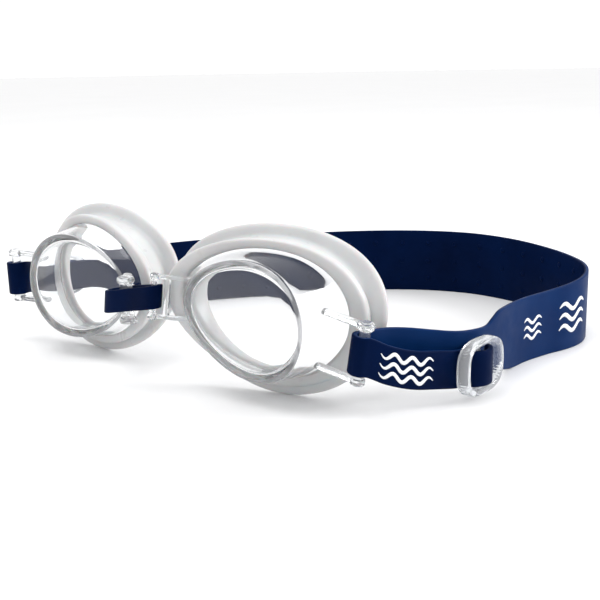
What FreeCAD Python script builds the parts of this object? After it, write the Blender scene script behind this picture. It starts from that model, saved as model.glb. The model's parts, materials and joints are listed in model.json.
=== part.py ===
import FreeCAD, Part
import math
import os

from FreeCAD import Placement, Rotation, Vector

# Swim goggles, lying on a flat surface. Millimetres. X to the wearer's left, Y from the lenses to the back of
# the head, Z up, and Z = 0 is the surface that the gaskets and the head strap stand on.
#
# Each eye cup is drawn in its own frame, from the middle of its lens: U to the temple, V back, W up. The whole
# is laid out from the middle between the two lenses, and moved to its own middle at the end.

DIMENSIONS = {
    # eye cup
    "lens_half_width": 20.3,
    "lens_half_height": 16.0,
    "lens_taper": 0.17,
    "lens_thickness": 1.8,
    "wall_thickness": 1.6,
    "wall_end_half_width": 23.4,
    "wall_end_half_height": 17.8,
    "lip_half_width": 25.5,
    "lip_half_height": 18.9,
    "lip_thickness": 1.2,
    "lip_setback": 0.8,
    # plane of the cup's rear lip: deeper at the temple than at the nose
    "seat_depth": 9.8,
    "seat_slope": 0.296,
    # gasket
    "gasket_taper": 0.11,
    "gasket_bend": 0.1,
    "step_half_width": 28.1,
    "step_half_height": 20.3,
    "step_thickness": 2.8,
    "neck_half_width": 26.8,
    "neck_half_height": 19.4,
    "flange_half_width": 31.6,
    "flange_half_height": 23.0,
    "flange_thickness": 2.6,
    "flange_depth": 15.0,
    "flange_slope": 0.179,
    "flange_lean": 0.161,
    "eye_half_width": 21.4,
    "eye_half_height": 15.8,
    # lugs
    "temple_post_out": 33.5,
    "temple_post_depth": 8.0,
    "temple_post_radius": 1.4,
    "temple_cap_radius": 2.3,
    "temple_lug_gap": 13.2,
    "lug_root_inset": 3.0,
    "cap_stand": 0.2,
    "nose_cap_stand": 0.3,
    "nose_web_thickness": 1.76,
    "temple_lug_drop": 0.4,
    "rail_thickness": 1.8,
    "rail_width": 3.0,
    "nose_lug_gap": 10.4,
    "nose_rail_thickness": 1.3,
    "nose_rail_width": 2.0,
    "nose_post_radius": 1.1,
    "nose_post_spread": 2.2,
    "nose_cap_radius": 2.4,
    "ladder_bar_radius": 0.9,
    "ladder_pitch": 4.2,
    "ladder_knob_radius": 1.4,
    # where the cups lie
    "lens_centre_out": 34.5,
    "left_cup_height": 23.75,
    "right_cup_height": 23.16,
    "left_cup_turn": 4.6,
    "right_cup_turn": 9.5,
    "left_cup_roll": 9.8,
    "right_cup_roll": 0.9,
    # straps
    "strap_thickness": 1.3,
    "right_turn_drop": 0.7,
    "band_trim": 0.1,
    "strap_end_width": 10.5,
    "nose_strap_thickness": 1.1,
    "nose_strap_width": 6.9,
    "nose_strap_clearance": 0.4,
    "nose_loop_radius": 3.7,
    "nose_strap_tilt": 11.2,
    "nose_strap_sag": 0.2,
    "loop_clearance": 0.5,
    # adjusters
    "adjuster_length": 20.5,
    "adjuster_height": 15.8,
    "adjuster_thickness": 3.4,
    "adjuster_corner": 7.0,
    "adjuster_window_length": 14.0,
    "adjuster_window_height": 11.4,
    "adjuster_window_corner": 3.4,
    "adjuster_edge": 1.0,
    "adjuster_bar_width": 2.8,
    "adjuster_bar_thickness": 0.9,
    "adjuster_gap": 0.3,
    "woven_width": 9.8,
    "woven_foot": 4.4,
    "woven_rise": 3.2,
    # from the middle between the lenses to the middle of the whole, seen from above
    "middle_x": 0.8,
    "middle_y": 72.0,
}

OUTLINE_POINTS = 24
CUT_MARGIN = 3.0
FORWARD = 1
SPANS_PER_FACE = 3
TABLE_REACH = 200

# Places in the cup's frame, as (U, V, W): middles between the two rails
LADDER_ROOT = (-18.6, 2.0, -0.6)
LADDER_END = (-29.9, -0.7, -2.4)
NOSE_POST_ROOT = (-18.8, 2.4, -0.9)
NOSE_POST = (-23.6, -4.0, -0.9)
# from the right cup's nose post to the middle of the nose strap's slack end
SLACK_SHIFT = Vector(-1.05, -1.25, 0)

doc = FreeCAD.newDocument("swim_goggles")
sheet = doc.addObject("Spreadsheet::Sheet", "Dimensions")
for row, (alias, value) in enumerate(DIMENSIONS.items(), start=1):
    sheet.set(f"A{row}", alias)
    sheet.set(f"B{row}", str(value))
    sheet.setAlias(f"B{row}", alias)
doc.recompute()


def size(alias):
    """A driving dimension, as the sheet holds it."""
    return float(sheet.get(alias))


def bind(thing, **expressions):
    """Bind an object's properties to the sheet: each value is an expression in the sheet's aliases."""
    for name, expression in expressions.items():
        words = [f"Dimensions.{word}" if word in DIMENSIONS else word for word in expression.split()]
        thing.setExpression(name, " ".join(words))


# ---------------------------------------------------------------- outlines of the cup and the gasket


def egg(name, side, half_width, half_height, taper, bend, depth, slope=0.0, lean=0.0):
    """A closed egg-shaped wire, taller at the temple, in a plane that slopes with U and leans with W."""
    points = []
    for step in range(OUTLINE_POINTS):
        angle = 2 * math.pi * step / OUTLINE_POINTS
        out = math.cos(angle)
        u = half_width * out
        w = half_height * (math.sin(angle) * (1 + taper * out) + bend * out * out)
        points.append(Vector(side * u, depth + slope * u + lean * w, w))
    curve = Part.BSplineCurve()
    curve.interpolate(Points=points, PeriodicFlag=True)
    wire = doc.addObject("Part::Feature", name)
    wire.Shape = Part.Wire([curve.toShape()])
    return wire


def loft(name, wires):
    """A solid through closed wires."""
    solid = doc.addObject("Part::Loft", name)
    solid.Sections = wires
    solid.Solid = True
    solid.Ruled = len(wires) == 2
    return solid


def seat_outline(name, side, half_width, half_height, behind):
    """An outline parallel to the plane of the cup's rear lip, some way behind the wall's end."""
    taper = (size("lens_taper") + size("gasket_taper")) / 2
    bend = size("gasket_bend") / 2
    depth = size("seat_depth") + behind
    return egg(name, side, half_width, half_height, taper, bend, depth, size("seat_slope"))


def flange_outline(name, side, half_width, half_height, behind):
    """An outline parallel to the gasket's face, some way behind the flange's front."""
    return egg(
        name, side, half_width, half_height, size("gasket_taper"), size("gasket_bend"),
        size("flange_depth") + behind, size("flange_slope"), size("flange_lean"),
    )


# ---------------------------------------------------------------- pieces of the lugs


def post(name, side, out, depth, middle, half_height_expression, radius_alias):
    """A round post along W, centred on its middle height."""
    bar = doc.addObject("Part::Cylinder", name)
    bind(bar, Radius=radius_alias, Height=f"2 * ( {half_height_expression} )")
    doc.recompute()
    bar.Placement = Placement(Vector(side * out, depth, middle - bar.Height.Value / 2), Rotation())
    return bar


def rail(name, side, start, end, height, thickness_alias, width_alias):
    """A flat rail from start to end, both (u, v, w), raised by height, with its thickness along W."""
    first, last = (Vector(side * u, v, w + height) for u, v, w in (start, end))
    bar = doc.addObject("Part::Box", name)
    bind(bar, Height=thickness_alias, Width=width_alias)
    bar.Length = (last - first).Length
    doc.recompute()
    turn = Rotation(Vector(1, 0, 0), last - first)
    corner = Vector(0, -bar.Width.Value / 2, -bar.Height.Value / 2)
    bar.Placement = Placement(first + turn.multVec(corner), turn)
    return bar


def temple_lug(tag, side):
    """Two rails and a post with round caps, outside the temple wall: the head strap goes round the post."""
    out = size("temple_post_out")
    depth = size("temple_post_depth")
    root = size("lens_half_width") - size("lug_root_inset")
    rail_height = (size("temple_lug_gap") + size("rail_thickness")) / 2
    drop = -size("temple_lug_drop")
    pieces = [post(f"temple_post_{tag}", side, out, depth, drop, "temple_lug_gap / 2 + rail_thickness",
                   "temple_post_radius")]
    for place, sign in (("top", 1), ("bottom", -1)):
        height = sign * rail_height
        pieces.append(rail(f"temple_{place}_rail_{tag}", side, (root, depth, drop), (out, depth, drop), height,
                           "rail_thickness", "rail_width"))
        pieces.append(post(f"temple_{place}_cap_{tag}", side, out, depth, height + drop,
                           "rail_thickness / 2 + cap_stand", "temple_cap_radius"))
    return pieces


def nose_rail_height():
    return (size("nose_lug_gap") + size("nose_rail_thickness")) / 2


def ladder_bars():
    """Where the middles of the ladder's outer and inner bars are."""
    root = Vector(*LADDER_ROOT)
    outer = Vector(*LADDER_END)
    inner = outer + (root - outer).normalize() * size("ladder_pitch")
    return [tuple(outer), tuple(inner)]


def nose_ladder(tag, side):
    """Two rails and two bars, in front of the nose wall: the nose strap goes round the outer bar."""
    pieces = []
    for name, place in zip(("outer", "inner"), ladder_bars()):
        pieces.append(post(f"ladder_{name}_bar_{tag}", side, *place, "nose_lug_gap / 2 + nose_rail_thickness",
                           "ladder_bar_radius"))
    for place, sign in (("top", 1), ("bottom", -1)):
        height = sign * nose_rail_height()
        pieces.append(rail(f"ladder_{place}_rail_{tag}", side, LADDER_ROOT, LADDER_END, height,
                           "nose_rail_thickness", "nose_rail_width"))
        out, depth, middle = LADDER_END
        pieces.append(post(f"ladder_{place}_knob_{tag}", side, out, depth, middle + height,
                           "nose_rail_thickness / 2 + cap_stand", "ladder_knob_radius"))
    return pieces


def nose_post(tag, side):
    """Two rails and a flat post with wide caps: it stands inside the nose strap's loop."""
    out, depth, middle = NOSE_POST
    half_height = "nose_lug_gap / 2 + nose_rail_thickness"
    spread = size("nose_post_spread") / 2
    pieces = [
        post(f"nose_post_{edge}_{tag}", side, out + offset, depth, middle, half_height, "nose_post_radius")
        for edge, offset in (("outer", -spread), ("inner", spread))
    ]
    web = doc.addObject("Part::Box", f"nose_post_web_{tag}")
    bind(web, Length="nose_post_spread", Width="nose_web_thickness", Height=f"2 * ( {half_height} )")
    doc.recompute()
    web.Placement = Placement(
        Vector(side * out - spread, depth - web.Width.Value / 2, middle - web.Height.Value / 2), Rotation())
    pieces.append(web)
    for place, sign in (("top", 1), ("bottom", -1)):
        height = sign * nose_rail_height()
        pieces.append(rail(f"nose_{place}_rail_{tag}", side, NOSE_POST_ROOT, NOSE_POST, height,
                           "nose_rail_thickness", "rail_width"))
        pieces.append(post(f"nose_{place}_cap_{tag}", side, out, depth, middle + height,
                           "nose_rail_thickness / 2 + nose_cap_stand", "nose_cap_radius"))
    return pieces


# ---------------------------------------------------------------- cups and gaskets


def fuse(name, shapes):
    joined = doc.addObject("Part::MultiFuse", name)
    joined.Shapes = shapes
    return joined


def cut(name, base, tool):
    result = doc.addObject("Part::Cut", name)
    result.Base = base
    result.Tool = tool
    return result


def cup_outside(tag, side, lugs):
    """The cup with no hollow in it: lens, slanted wall, rear lip and lugs."""
    lens = egg(f"lens_outline_{tag}", side, size("lens_half_width"), size("lens_half_height"),
               size("lens_taper"), 0, 0)
    lip_back = size("lip_setback") + size("lip_thickness")
    wall_end = seat_outline(f"wall_end_{tag}", side, size("wall_end_half_width"), size("wall_end_half_height"),
                            lip_back)
    wall = loft(f"wall_{tag}", [lens, wall_end])
    lip_outlines = [
        seat_outline(f"lip_outline_{number}_{tag}", side, size("lip_half_width"), size("lip_half_height"),
                     behind)
        for number, behind in enumerate((size("lip_setback"), lip_back), start=1)
    ]
    lip = loft(f"lip_{tag}", lip_outlines)
    return fuse(f"cup_outside_{tag}", [wall, lip] + lugs)


def cup_hollow(tag, side):
    """The space inside the cup, open at the back."""
    wall = size("wall_thickness")
    front = egg(f"hollow_front_{tag}", side, size("lens_half_width") - wall, size("lens_half_height") - wall,
                size("lens_taper"), 0, size("lens_thickness"))
    back = seat_outline(f"hollow_back_{tag}", side, size("wall_end_half_width") - wall,
                        size("wall_end_half_height") - wall, CUT_MARGIN)
    return loft(f"hollow_{tag}", [front, back])


def gasket_outside(tag, side):
    """The gasket with no hole in it: a step round the cup's lip, a neck and the wide flange on the skin."""
    step = loft(f"step_{tag}", [
        seat_outline(f"step_outline_{number}_{tag}", side, size("step_half_width"), size("step_half_height"),
                     behind)
        for number, behind in enumerate((0, size("step_thickness")), start=1)
    ])
    neck = loft(f"neck_{tag}", [
        seat_outline(f"neck_front_{tag}", side, size("neck_half_width"), size("neck_half_height"),
                     size("lip_setback")),
        flange_outline(f"neck_back_{tag}", side, size("neck_half_width"), size("neck_half_height"),
                       size("flange_thickness") / 2),
    ])
    flange = loft(f"flange_{tag}", [
        flange_outline(f"flange_outline_{number}_{tag}", side, size("flange_half_width"),
                       size("flange_half_height"), behind)
        for number, behind in enumerate((0, size("flange_thickness")), start=1)
    ])
    return fuse(f"gasket_outside_{tag}", [step, neck, flange])


def gasket_hole(tag, side):
    """The hole through the gasket, that the eye looks through."""
    front = seat_outline(f"eye_front_{tag}", side, size("wall_end_half_width") - size("wall_thickness"),
                         size("wall_end_half_height") - size("wall_thickness"), -CUT_MARGIN)
    back = flange_outline(f"eye_back_{tag}", side, size("eye_half_width"), size("eye_half_height"),
                          size("flange_thickness") + CUT_MARGIN)
    return loft(f"eye_hole_{tag}", [front, back])


def cup_place(side):
    """Where a cup lies: turned about Z, and rolled so that its temple side is lower."""
    if side > 0:
        turn = size("left_cup_turn")
        roll = size("left_cup_roll")
        height = size("left_cup_height")
    else:
        turn = size("right_cup_turn")
        roll = -size("right_cup_roll")
        height = size("right_cup_height")
    rotation = Rotation(Vector(0, 0, 1), turn).multiply(Rotation(Vector(0, 1, 0), roll))
    return Placement(Vector(side * size("lens_centre_out"), 0, height), rotation)


def make_cup(tag, side, nose_lug):
    outside = cup_outside(tag, side, temple_lug(tag, side) + nose_lug(tag, side))
    cup = cut(f"lens_cup_{tag}", outside, cup_hollow(tag, side))
    room = fuse(f"gasket_room_{tag}", [outside, gasket_hole(tag, side)])
    gasket = cut(f"gasket_{tag}", gasket_outside(tag, side), room)
    for node in (cup, gasket):
        node.Placement = cup_place(side)
    return [cup, gasket]


# ---------------------------------------------------------------- straps


def plane_of(body, role):
    """One of a body's own origin planes."""
    return next(feature for feature in body.Origin.OriginFeatures if feature.Role == role)


def ribbon(stations, thickness):
    """A flat strap along stations (point, width, lean), its width upright and leaning by lean in X.

    Its four long edges are splines on common parameters, with ruled faces between them, a few spans each."""
    centres = [point for point, width, lean in stations]
    spacing = [0.0]
    for here, there in zip(centres, centres[1:]):
        spacing.append(spacing[-1] + (there - here).Length)
    middle = Part.BSplineCurve()
    middle.interpolate(Points=centres, Parameters=spacing)
    curves = []
    for across, up in ((1, 1), (-1, 1), (-1, -1), (1, -1)):
        corners = []
        for (point, width, lean), parameter in zip(stations, spacing):
            upright = Vector(lean, 0, 1).normalize()
            normal = middle.tangent(parameter)[0].cross(upright).normalize()
            corners.append(point + normal * (across * thickness / 2) + upright * (up * width / 2))
        curve = Part.BSplineCurve()
        curve.interpolate(Points=corners, Parameters=spacing)
        curves.append(curve)
    faces = []
    for start in range(0, len(stations) - 1, SPANS_PER_FACE):
        end = min(start + SPANS_PER_FACE, len(stations) - 1)
        edges = [curve.toShape(spacing[start], spacing[end]) for curve in curves]
        faces += [Part.makeRuledSurface(one, two, FORWARD) for one, two in zip(edges, edges[1:] + edges[:1])]
    for parameter in (spacing[0], spacing[-1]):
        tips = [curve.value(parameter) for curve in curves]
        faces.append(Part.Face(Part.makePolygon(tips + tips[:1])))
    shell = Part.Shell(faces)
    shell.sewShape()
    solid = Part.Solid(shell)
    if solid.Volume < 0:
        solid.reverse()
    return solid


def strap_round(centre, lean, side, radius, angles, width):
    """Stations round a leaning post. Angles are in degrees from the temple side, turning towards the front."""
    across = Vector(1, 0, -lean).normalize()
    return [
        (centre
         + across * (side * radius * math.cos(math.radians(angle)))
         + Vector(0, -radius * math.sin(math.radians(angle)), 0), width, lean)
        for angle in angles
    ]


def lug_centre(side, out, depth, height=0.0):
    """A point of a cup's frame, in the goggles' frame."""
    return cup_place(side).multVec(Vector(side * out, depth, height))


def cup_lean(side):
    """How much a cup's upright leans in X."""
    upright = cup_place(side).Rotation.multVec(Vector(0, 0, 1))
    return upright.x / upright.z


def flat_stations(rows, drop=0.0):
    """Stations from rows of x, y, middle height, width and lean, lowered by drop."""
    return [(Vector(x, y, height - drop), width, lean) for x, y, height, width, lean in rows]


def head_strap():
    """Front leg, turn round the left lug, back leg, wide band round the back, and the same to the right lug.

    The band's lower edge is trimmed flat where it stands on the table."""
    narrow = size("strap_end_width")
    radius = size("temple_post_radius") + size("loop_clearance") + size("strap_thickness") / 2
    height = -size("temple_lug_drop")
    left_post = lug_centre(1, size("temple_post_out"), size("temple_post_depth"), height)
    right_post = lug_centre(-1, size("temple_post_out"), size("temple_post_depth"), height - size("right_turn_drop"))
    left_front_leg = flat_stations([
        (78.9, 46.5, 9.2, narrow, 0),
        (78.9, 41.5, 9.2, narrow, 0),
        (78.6, 36.5, 9.5, narrow, 0),
        (77.0, 30.0, 10.6, narrow, 0.02),
        (74.4, 21.5, 12.2, narrow, 0.08),
        (71.7, 14.6, 14.7, narrow, 0.14),
    ])
    left_turn = strap_round(left_post, cup_lean(1), 1, radius, (15, 50, 90, 130, 165), narrow)
    left_back_leg = flat_stations([
        (65.3, 15.5, 17.6, narrow, 0.13),
        (66.3, 22.0, 16.9, narrow, 0.1),
        (68.8, 28.0, 15.9, narrow, 0.06),
        (72.3, 34.0, 14.6, narrow, 0.02),
        (75.6, 40.5, 13.3, narrow, 0),
        (77.2, 47.5, 12.6, narrow, 0),
        (77.2, 54.0, 12.4, narrow, 0),
    ])
    band = flat_stations([
        (76.9, 58.0, 12.3, 13.4, 0),
        (76.3, 62.0, 11.6, 16.8, 0),
        (75.6, 66.5, 10.7, 18.8, 0),
        (74.8, 73.0, 10.1, 19.9, 0),
        (74.7, 81.0, 10.0, 20.0, 0),
        (76.4, 92.0, 10.1, 20.2, 0),
        (78.7, 101.5, 10.5, 21.0, 0),
        (79.0, 109.5, 10.9, 21.8, 0),
        (76.7, 117.5, 11.2, 22.4, 0),
        (71.7, 125.5, 11.4, 22.8, 0),
        (63.5, 133.0, 11.5, 23.0, 0),
        (51.0, 141.0, 11.6, 23.2, 0),
        (33.5, 147.5, 11.8, 23.6, 0),
        (15.0, 149.0, 11.9, 23.8, 0),
        (-3.0, 143.5, 11.9, 23.8, 0),
        (-21.0, 131.0, 11.9, 23.8, 0),
        (-38.0, 112.5, 11.9, 23.8, 0),
        (-51.0, 93.5, 12.0, 23.8, 0),
        (-60.0, 76.0, 12.4, 23.4, 0),
        (-65.5, 62.5, 13.2, 21.8, 0),
        (-69.2, 53.5, 14.2, 19.0, 0),
        (-71.8, 47.5, 15.1, 15.4, 0),
        (-73.7, 42.5, 15.9, 12.0, 0),
    ], size("band_trim"))
    right_back_leg = flat_stations([
        (-75.1, 37.0, 16.4, narrow, 0),
        (-75.7, 31.0, 16.6, narrow, 0),
        (-75.7, 24.0, 16.9, narrow, 0),
        (-75.0, 18.0, 17.9, narrow, 0),
        (-73.0, 12.5, 19.2, narrow, 0),
        (-70.0, 8.3, 20.5, narrow, 0),
    ])
    right_turn = strap_round(right_post, cup_lean(-1), -1, radius, (215, 180, 140, 100, 60, 20), narrow)
    right_front_leg = flat_stations([
        (-73.3, 7.0, 20.3, narrow, 0),
        (-76.2, 13.5, 18.8, narrow, 0),
        (-77.3, 21.0, 17.2, narrow, 0),
        (-77.3, 31.5, 16.6, narrow, 0),
    ])
    strap = doc.addObject("Part::Feature", "head_strap")
    whole = ribbon(
        left_front_leg + left_turn + left_back_leg + band + right_back_leg + right_turn + right_front_leg,
        size("strap_thickness"),
    )
    corner = Vector(-TABLE_REACH, -TABLE_REACH, -TABLE_REACH)
    under = Part.makeBox(2 * TABLE_REACH, 2 * TABLE_REACH, TABLE_REACH, corner)
    strap.Shape = whole.cut(under)
    return strap


def nose_strap():
    """A closed loop: snug round the ladder's outer bar, and wide and slack round the right cup's nose post."""
    body = doc.addObject("PartDesign::Body", "nose_strap")
    sketch = body.newObject("Sketcher::SketchObject", "loop")
    sketch.AttachmentSupport = (plane_of(body, "XY_Plane"), "")
    sketch.MapMode = "FlatFace"
    bar = lug_centre(1, *LADDER_END)
    slack_end = lug_centre(-1, *NOSE_POST) + SLACK_SHIFT
    reach = math.hypot(bar.x - slack_end.x, bar.y - slack_end.y)
    snug = size("ladder_bar_radius") + size("nose_strap_clearance")
    for growth in (0, size("nose_strap_thickness")):
        add_loop(sketch, reach, snug + growth, size("nose_loop_radius") + growth)
    doc.recompute()
    pad = body.newObject("PartDesign::Pad", "band")
    pad.Profile = sketch
    pad.Midplane = True
    bind(pad, Length="nose_strap_width")
    turn = Rotation(Vector(0, 0, 1), math.degrees(math.atan2(slack_end.y - bar.y, slack_end.x - bar.x)))
    tilt = Rotation(Vector(0, 1, 0), -size("nose_strap_tilt"))
    body.Placement = Placement(bar - Vector(0, 0, size("nose_strap_sag")), tilt.multiply(turn))
    upright = cup_place(1).Rotation.multVec(Vector(0, 0, 1))
    pad.UseCustomVector = True
    pad.Direction = body.Placement.Rotation.inverted().multVec(upright)
    doc.recompute()
    return body


def add_loop(sketch, reach, small, large):
    """Two arcs, round the origin and round the point at reach on X, and the lines that touch both."""
    slant = math.degrees(math.acos((small - large) / reach))
    ends = []
    for centre, radius, first, last in ((Vector(0, 0, 0), small, slant, 360 - slant),
                                        (Vector(reach, 0, 0), large, -slant, slant)):
        circle = Part.Circle(centre, Vector(0, 0, 1), radius)
        sketch.addGeometry(Part.ArcOfCircle(circle, math.radians(first), math.radians(last)))
        ends.append([centre + Vector(math.cos(math.radians(angle)), math.sin(math.radians(angle)), 0) * radius
                     for angle in (slant, -slant)])
    for one, other in zip(*ends):
        sketch.addGeometry(Part.LineSegment(one, other))


# ---------------------------------------------------------------- adjusters


def rounded_box(body, kind, name, length, width, height, corner, base):
    """A box with its four X edges rounded, centred on the body's X axis. Sizes are sheet expressions."""
    box = body.newObject(f"PartDesign::{kind}Box", name)
    bind(box, Length=height, Width=length, Height=width)
    doc.recompute()
    box.Placement = Placement(Vector(base, -box.Width.Value / 2, -box.Height.Value / 2), Rotation())
    doc.recompute()
    edges = []
    half = Vector(0, box.Width.Value / 2, box.Height.Value / 2)
    for number, edge in enumerate(box.Shape.Edges, start=1):
        ends = [vertex.Point for vertex in edge.Vertexes]
        along_x = len(ends) == 2 and abs(ends[0].y - ends[1].y) + abs(ends[0].z - ends[1].z) < 0.01
        if along_x and abs(abs(ends[0].y) - half.y) + abs(abs(ends[0].z) - half.z) < 0.01:
            edges.append(f"Edge{number}")
    fillet = body.newObject("PartDesign::Fillet", f"{name}_corners")
    fillet.Base = (box, edges)
    bind(fillet, Radius=corner)
    doc.recompute()
    return fillet


def adjuster_place(side):
    """The middle of an adjuster's back: it lies on the outer face of the strap's front leg."""
    gap = size("strap_thickness") / 2 + size("adjuster_gap")
    if side > 0:
        return Placement(Vector(78.9 + gap, 43.5, 9.3), Rotation())
    return Placement(Vector(-77.3 - gap, 28.5, 16.6), Rotation(Vector(0, 0, 1), 180))


def adjuster(tag, side):
    """A rounded ring with a window and an upright bar across it."""
    body = doc.addObject("PartDesign::Body", f"adjuster_{tag}")
    rounded_box(body, "Additive", f"ring_{tag}", "adjuster_length", "adjuster_height", "adjuster_thickness",
                "adjuster_corner", 0)
    window = rounded_box(body, "Subtractive", f"window_{tag}", "adjuster_window_length",
                         "adjuster_window_height", "adjuster_thickness", "adjuster_window_corner", 0)
    edge_names = [
        f"Edge{number}" for number, edge in enumerate(window.Shape.Edges, start=1)
        if edge.BoundBox.XLength < 0.01
    ]
    softened = body.newObject("PartDesign::Fillet", f"softened_{tag}")
    softened.Base = (window, edge_names)
    bind(softened, Radius="adjuster_edge")
    doc.recompute()
    bar = body.newObject("PartDesign::AdditiveBox", f"bar_{tag}")
    bind(bar, Length="adjuster_bar_thickness", Width="adjuster_bar_width",
         Height="adjuster_window_height + 1")
    doc.recompute()
    bar.Placement = Placement(Vector(0.2, -bar.Width.Value / 2, -bar.Height.Value / 2), Rotation())
    doc.recompute()
    body.Placement = adjuster_place(side)
    return body


def strap_end(tag, side):
    """The strap's free end where it is woven over the adjuster's bar: an arch, as wide as the strap."""
    body = doc.addObject("PartDesign::Body", f"strap_end_{tag}")
    sketch = body.newObject("Sketcher::SketchObject", f"arch_{tag}")
    sketch.AttachmentSupport = (plane_of(body, "XY_Plane"), "")
    sketch.MapMode = "FlatFace"
    thickness = size("strap_thickness")
    foot = size("woven_foot")
    rise = size("woven_rise")
    low = size("adjuster_gap")
    outer = Part.Arc(Vector(low, -foot - thickness, 0), Vector(rise + thickness, 0, 0),
                     Vector(low, foot + thickness, 0))
    inner = Part.Arc(Vector(low, -foot, 0), Vector(rise, 0, 0), Vector(low, foot, 0))
    sketch.addGeometry(outer)
    sketch.addGeometry(inner)
    for sign in (-1, 1):
        sketch.addGeometry(Part.LineSegment(Vector(low, sign * foot, 0), Vector(low, sign * (foot + thickness), 0)))
    doc.recompute()
    pad = body.newObject("PartDesign::Pad", f"woven_{tag}")
    pad.Profile = sketch
    pad.Midplane = True
    bind(pad, Length="woven_width")
    doc.recompute()
    body.Placement = adjuster_place(side)
    return body


# ---------------------------------------------------------------- build, check and write


nodes = make_cup("left", 1, nose_ladder) + make_cup("right", -1, nose_post)
nodes += [head_strap(), nose_strap()]
for tag, side in (("left", 1), ("right", -1)):
    nodes += [adjuster(tag, side), strap_end(tag, side)]
to_middle = Placement(Vector(-size("middle_x"), -size("middle_y"), 0), Rotation())
for node in nodes:
    node.Placement = to_middle.multiply(node.Placement)
doc.recompute()

for thing in doc.Objects:
    if "Invalid" in thing.State or "Error" in thing.State:
        raise RuntimeError(f"{thing.Name} failed: {thing.State}")
for node in nodes:
    if node.Shape.isNull() or not node.Shape.isValid() or not node.Shape.Solids:
        raise RuntimeError(f"{node.Label} has no valid solid")

os.makedirs("parts", exist_ok=True)
for node in nodes:
    node.Shape.exportStep(f"parts/{node.Label}.step")
    box = node.Shape.BoundBox
    print(f"{node.Label}: {len(node.Shape.Solids)} solid, {node.Shape.Volume:.0f} mm3, "
          f"x {box.XMin:.1f} {box.XMax:.1f}, y {box.YMin:.1f} {box.YMax:.1f}, z {box.ZMin:.1f} {box.ZMax:.1f}")
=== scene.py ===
import json
import math

import bmesh
import bpy
from mathutils import Matrix, Quaternion, Vector


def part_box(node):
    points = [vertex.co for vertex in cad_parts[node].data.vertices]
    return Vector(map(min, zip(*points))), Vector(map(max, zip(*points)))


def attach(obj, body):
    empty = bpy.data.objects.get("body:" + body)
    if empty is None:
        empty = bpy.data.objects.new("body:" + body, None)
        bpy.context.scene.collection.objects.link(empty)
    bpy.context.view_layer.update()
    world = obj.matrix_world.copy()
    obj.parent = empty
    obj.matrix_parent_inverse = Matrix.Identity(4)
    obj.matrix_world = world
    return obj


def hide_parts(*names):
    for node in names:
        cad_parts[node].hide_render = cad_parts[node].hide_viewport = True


# Swim goggles lying on a pale floor. Sizes here are in millimetres, and MM turns them into metres.
# The floor's radius and the lamps' places are in metres.
# Each cup is drawn in its own frame, from the middle of its lens: U to the temple, V back, W up.

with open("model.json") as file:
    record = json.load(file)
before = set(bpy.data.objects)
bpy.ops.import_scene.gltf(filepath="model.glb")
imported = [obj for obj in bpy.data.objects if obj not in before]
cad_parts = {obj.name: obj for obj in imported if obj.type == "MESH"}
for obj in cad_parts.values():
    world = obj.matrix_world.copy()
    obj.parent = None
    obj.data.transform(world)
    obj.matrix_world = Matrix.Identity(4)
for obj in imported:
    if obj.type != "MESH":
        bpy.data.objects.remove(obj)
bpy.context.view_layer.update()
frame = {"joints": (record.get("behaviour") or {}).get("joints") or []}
joints = {joint["name"]: joint for joint in frame["joints"]}

MM = 0.001
AROUND = 96


# ---------------------------------------------------------------- places on a cup, and the cups' own frames

TEMPLE_POST = Vector((33.5, 8.0, -0.4))
LADDER_ROOT = Vector((-18.6, 2.0, -0.6))
LADDER_END = Vector((-29.9, -0.7, -2.4))
NOSE_POST_ROOT = Vector((-18.8, 2.4, -0.9))
NOSE_POST = Vector((-23.6, -4.0, -0.9))


def cup_frame(joint_name, side, turn, roll):
    """The matrix from a cup's own frame, in millimetres, to the world. Its temple post is at the joint.

    The side is 1 for the left cup and -1 for the right. Turn, about Z, and roll, about Y, are in degrees.
    """
    rotation = Matrix.Rotation(math.radians(turn), 3, "Z") @ Matrix.Rotation(math.radians(roll), 3, "Y")
    post = Vector((side * TEMPLE_POST.x, TEMPLE_POST.y, TEMPLE_POST.z)) * MM
    corner = Vector(joints[joint_name]["pos_m"]) - rotation @ post
    return Matrix.Translation(corner) @ rotation.to_4x4() @ Matrix.Scale(MM, 4)


CUPS = {
    "left": (1, cup_frame("left_cup_swing", side=1, turn=4.6, roll=9.8)),
    "right": (-1, cup_frame("right_cup_swing", side=-1, turn=9.5, roll=-0.9)),
}
lens_middle = (CUPS["left"][1].translation + CUPS["right"][1].translation) / 2
lens_middle.z = 0


def place(x, y, z):
    """A point measured in millimetres from the middle between the lenses, on the floor."""
    return lens_middle + Vector((x, y, z)) * MM


def in_cup(tag, u, v, w):
    side, matrix = CUPS[tag]
    return matrix @ Vector((side * u, v, w))


# ---------------------------------------------------------------- materials


def new_material(name, **sockets):
    """A Principled material, its node tree, and its shader, with the shader's own sockets set."""
    material = bpy.data.materials.new(name)
    material.use_nodes = True
    shader = material.node_tree.nodes["Principled BSDF"]
    for socket, value in sockets.items():
        shader.inputs[socket.replace("_", " ")].default_value = value
    return material, material.node_tree, shader


def add_noise(tree, scale, detail=4.0):
    where = tree.nodes.new("ShaderNodeTexCoord")
    noise = tree.nodes.new("ShaderNodeTexNoise")
    noise.inputs["Scale"].default_value = scale
    noise.inputs["Detail"].default_value = detail
    tree.links.new(where.outputs["Object"], noise.inputs["Vector"])
    return noise.outputs["Fac"]


def add_range(tree, factor, low, high):
    """Spread a 0 to 1 factor between low and high."""
    spread = tree.nodes.new("ShaderNodeMapRange")
    spread.inputs["From Min"].default_value = 0.3
    spread.inputs["From Max"].default_value = 0.7
    spread.inputs["To Min"].default_value = low
    spread.inputs["To Max"].default_value = high
    tree.links.new(factor, spread.inputs["Value"])
    return spread.outputs["Result"]


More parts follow.
